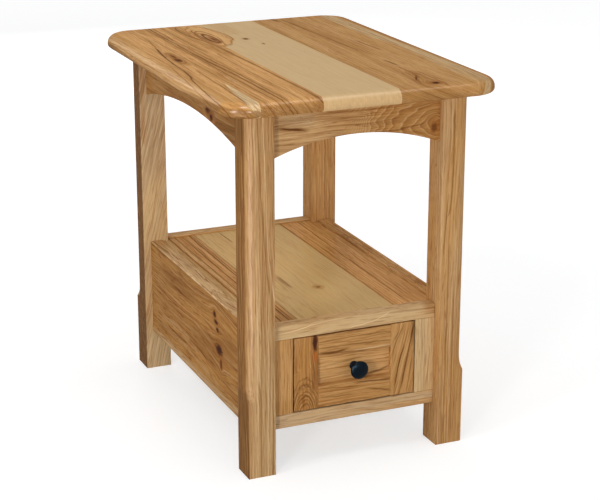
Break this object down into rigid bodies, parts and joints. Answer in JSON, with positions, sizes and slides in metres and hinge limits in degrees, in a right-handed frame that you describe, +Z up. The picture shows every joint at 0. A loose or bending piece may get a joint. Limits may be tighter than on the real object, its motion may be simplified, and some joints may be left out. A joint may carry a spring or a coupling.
{
  "type": "side table",
  "caption": "Solid hickory chairside table with stopped-round square legs, arched aprons, a shelf and a deep drawer with a round black knob on full-extension slides.",
  "frame": {"origin": "the middle of the footprint, on the floor under the feet", "axes": "+Z up; -Y the front, where the drawer opens; +X to the right as one faces the drawer"},
  "size_m": [0.457, 0.622, 0.61],
  "materials": {
    "hickory": "satin clear lacquer on knotty hickory",
    "drawer_wood": "satin clear lacquer on pale plain wood",
    "inner_wood": "sanded bare wood",
    "zinc_steel": "zinc-plated rolled steel",
    "ball_steel": "polished hard steel",
    "screw_steel": "yellow zinc-plated steel",
    "knob_black": "satin black"
  },
  "bodies": {
    "case": {"apron_front": "hickory", "apron_left": "hickory", "apron_rear": "hickory", "apron_right": "hickory", "front_rail_bottom": "hickory", "front_rail_top": "hickory", "front_stile_left": "hickory", "front_stile_right": "hickory", "leg_front_left": "hickory", "leg_front_right": "hickory", "leg_rear_left": "hickory", "leg_rear_right": "hickory", "rear_panel": "hickory", "shelf_board_1": "hickory", "shelf_board_2": "hickory", "shelf_board_3": "hickory", "shelf_board_4": "hickory", "shelf_cleat_front": "inner_wood", "shelf_cleat_left": "inner_wood", "shelf_cleat_rear": "inner_wood", "shelf_cleat_right": "inner_wood", "shelf_screws": "screw_steel", "side_panel_left": "hickory", "side_panel_right": "hickory", "slide_block_left": "inner_wood", "slide_block_right": "inner_wood", "slide_case_screws": "screw_steel", "slide_outer_left": "zinc_steel", "slide_outer_right": "zinc_steel", "stile_dowels": "inner_wood", "top_board_1": "hickory", "top_board_2": "hickory", "top_board_3": "hickory", "top_board_4": "hickory", "top_board_5": "hickory", "top_button_screws": "screw_steel", "top_buttons": "inner_wood"},
    "drawer": {"drawer_bottom": "drawer_wood", "drawer_box_back": "drawer_wood", "drawer_box_front": "drawer_wood", "drawer_front_screws": "screw_steel", "drawer_panel": "hickory", "drawer_rail_bottom": "hickory", "drawer_rail_top": "hickory", "drawer_side_left": "drawer_wood", "drawer_side_right": "drawer_wood", "drawer_stile_left": "hickory", "drawer_stile_right": "hickory", "knob": "knob_black", "knob_screw": "screw_steel", "slide_drawer_screws": "screw_steel", "slide_inner_left": "zinc_steel", "slide_inner_right": "zinc_steel"},
    "slide_middles": {"slide_middle_left": "zinc_steel", "slide_middle_right": "zinc_steel"},
    "outer_cages": {"slide_balls_outer": "ball_steel", "slide_cages_outer": "zinc_steel"},
    "inner_cages": {"slide_balls_inner": "ball_steel", "slide_cages_inner": "zinc_steel"}
  },
  "joints": [
    {"name": "drawer_slide", "type": "slide", "parent": "case", "child": "drawer", "axis": [0, -1, 0], "range_m": [0, 0.38]},
    {"name": "slide_middle_slide", "type": "slide", "parent": "case", "child": "slide_middles", "axis": [0, -1, 0], "range_m": [0, 0.19]},
    {"name": "outer_cage_slide", "type": "slide", "parent": "case", "child": "outer_cages", "axis": [0, -1, 0], "range_m": [0, 0.095]},
    {"name": "inner_cage_slide", "type": "slide", "parent": "case", "child": "inner_cages", "axis": [0, -1, 0], "range_m": [0, 0.285]}
  ],
  "couplings": [
    {"joint": "slide_middle_slide", "follows": "drawer_slide", "ratio": 0.5},
    {"joint": "outer_cage_slide", "follows": "drawer_slide", "ratio": 0.25},
    {"joint": "inner_cage_slide", "follows": "drawer_slide", "ratio": 0.75}
  ]
}
